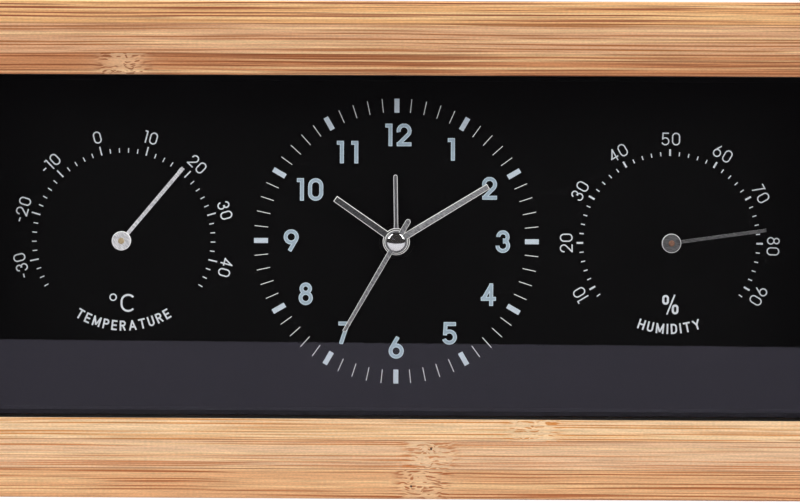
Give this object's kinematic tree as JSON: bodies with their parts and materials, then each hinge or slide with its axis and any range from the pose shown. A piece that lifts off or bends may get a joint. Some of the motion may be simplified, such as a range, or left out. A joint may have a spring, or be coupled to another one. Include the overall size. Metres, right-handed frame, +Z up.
{
  "type": "desk clock with thermometer and hygrometer",
  "caption": "Wide desk clock in a mitred bamboo frame: black dial with alarm clock hands in the middle, thermometer on the left and hygrometer on the right, set knobs behind.",
  "frame": {"origin": "on the ground, under the middle of the frame", "axes": "+Z up, +X to the reader's right, the dial looks towards -Y"},
  "size_m": [0.2, 0.045, 0.1],
  "materials": {
    "bamboo": "clear lacquered bamboo plywood",
    "clear_sheet": "polished clear sheet",
    "black_sheet": "printed satin black sheet",
    "black_plastic": "moulded, fine texture",
    "white_plastic": "moulded acetal",
    "board": "hardboard",
    "pale_wood": "sawn softwood",
    "hand_metal": "satin with bright edges",
    "needle_metal": "satin",
    "dark_needle_metal": "satin, darker",
    "polished": "polished",
    "brass": "turned",
    "bimetal": "rolled strip",
    "screw_steel": "zinc plated",
    "lamination": "stamped",
    "magnet": "sintered magnet",
    "copper": "enamelled copper wire",
    "circuit": "green solder mask",
    "cell_sleeve": "plain printed sleeve"
  },
  "bodies": {
    "housing": {"frame_top": "bamboo", "frame_bottom": "bamboo", "frame_left": "bamboo", "frame_right": "bamboo", "lens": "clear_sheet", "spacer_top": "black_sheet", "spacer_bottom": "black_sheet", "spacer_left": "black_sheet", "spacer_right": "black_sheet", "dial_face": "black_sheet", "dial_backer": "board", "corner_blocks": "pale_wood", "back_cover": "black_plastic", "cover_screws": "screw_steel", "front_case": "black_plastic", "mid_plate": "white_plastic", "back_case": "black_plastic", "works_screws": "screw_steel", "meter_screws": "screw_steel", "stator": "lamination", "coil_core": "lamination", "coil_bobbin": "white_plastic", "coil_winding": "copper", "circuit_board": "circuit", "quartz_crystal": "polished", "clock_chip": "black_plastic", "buzzer": "brass", "alarm_contact": "brass", "battery_cell": "cell_sleeve", "positive_contact": "screw_steel", "negative_contact": "screw_steel", "thermometer_cup": "black_plastic", "thermometer_coil": "bimetal", "hygrometer_cup": "black_plastic", "hygrometer_coil": "bimetal"},
    "second_hand": {"seconds_wheel": "white_plastic", "second_hand": "hand_metal", "second_hand_cap": "polished"},
    "rotor": {"rotor_arbor": "white_plastic", "rotor_magnet": "magnet"},
    "intermediate_wheel": {"intermediate_wheel": "white_plastic"},
    "third_wheel": {"third_wheel": "white_plastic"},
    "centre_wheel": {"centre_wheel": "white_plastic"},
    "time_set": {"motion_wheel": "white_plastic", "time_set_knob": "black_plastic"},
    "minute_hand": {"minute_pipe": "brass", "minute_hand": "hand_metal"},
    "hour_hand": {"hour_wheel": "white_plastic", "hour_hand": "hand_metal"},
    "alarm_set": {"alarm_shaft": "white_plastic", "alarm_set_knob": "black_plastic"},
    "alarm_hand": {"alarm_wheel": "white_plastic", "alarm_hand": "hand_metal"},
    "thermometer_needle": {"thermometer_staff": "brass", "thermometer_needle": "needle_metal"},
    "hygrometer_needle": {"hygrometer_staff": "brass", "hygrometer_needle": "dark_needle_metal"},
    "alarm_switch": {"alarm_switch": "white_plastic"},
    "battery_door": {"battery_door": "black_plastic"}
  },
  "joints": [
    {"name": "second_hand_turn", "type": "hinge", "parent": "housing", "child": "second_hand", "pos_m": [0, 0, 0.0513], "axis": [0, 1, 0], "continuous": true},
    {"name": "rotor_turn", "type": "hinge", "parent": "housing", "child": "rotor", "pos_m": [-0.01197, 0, 0.04676], "axis": [0, 1, 0], "continuous": true},
    {"name": "intermediate_turn", "type": "hinge", "parent": "housing", "child": "intermediate_wheel", "pos_m": [-0.00606, 0, 0.0478], "axis": [0, 1, 0], "continuous": true},
    {"name": "third_turn", "type": "hinge", "parent": "housing", "child": "third_wheel", "pos_m": [0, 0, 0.0585], "axis": [0, 1, 0], "continuous": true},
    {"name": "centre_turn", "type": "hinge", "parent": "housing", "child": "centre_wheel", "pos_m": [0, 0, 0.0513], "axis": [0, 1, 0], "continuous": true},
    {"name": "time_set_turn", "type": "hinge", "parent": "housing", "child": "time_set", "pos_m": [-0.00727, 0, 0.0555], "axis": [0, 1, 0], "continuous": true},
    {"name": "minute_hand_turn", "type": "hinge", "parent": "housing", "child": "minute_hand", "pos_m": [0, 0, 0.0513], "axis": [0, 1, 0], "continuous": true},
    {"name": "hour_hand_turn", "type": "hinge", "parent": "housing", "child": "hour_hand", "pos_m": [0, 0, 0.0513], "axis": [0, 1, 0], "continuous": true},
    {"name": "alarm_set_turn", "type": "hinge", "parent": "housing", "child": "alarm_set", "pos_m": [0.00727, 0, 0.0555], "axis": [0, 1, 0], "continuous": true},
    {"name": "alarm_hand_turn", "type": "hinge", "parent": "housing", "child": "alarm_hand", "pos_m": [0, 0, 0.0513], "axis": [0, 1, 0], "continuous": true},
    {"name": "thermometer_turn", "type": "hinge", "parent": "housing", "child": "thermometer_needle", "pos_m": [-0.0558, 0, 0.0513], "axis": [0, 1, 0], "range_deg": [-160, 80], "stiffness_Nm_per_rad": 0.00002},
    {"name": "hygrometer_turn", "type": "hinge", "parent": "housing", "child": "hygrometer_needle", "pos_m": [0.0558, 0, 0.0513], "axis": [0, 1, 0], "range_deg": [-208, 44], "stiffness_Nm_per_rad": 0.00002},
    {"name": "alarm_switch_slide", "type": "slide", "parent": "housing", "child": "alarm_switch", "axis": [0, 0, 1], "range_m": [0, 0.003]},
    {"name": "battery_door_lift", "type": "slide", "parent": "housing", "child": "battery_door", "axis": [0, 1, 0], "range_m": [0, 0.03]}
  ],
  "couplings": [
    {"joint": "rotor_turn", "follows": "second_hand_turn", "ratio": 30},
    {"joint": "intermediate_turn", "follows": "second_hand_turn", "ratio": -6},
    {"joint": "third_turn", "follows": "second_hand_turn", "ratio": -0.13333},
    {"joint": "centre_turn", "follows": "second_hand_turn", "ratio": 0.016667},
    {"joint": "minute_hand_turn", "follows": "time_set_turn", "ratio": -3},
    {"joint": "hour_hand_turn", "follows": "time_set_turn", "ratio": -0.25},
    {"joint": "alarm_hand_turn", "follows": "alarm_set_turn", "ratio": -0.33333}
  ]
}
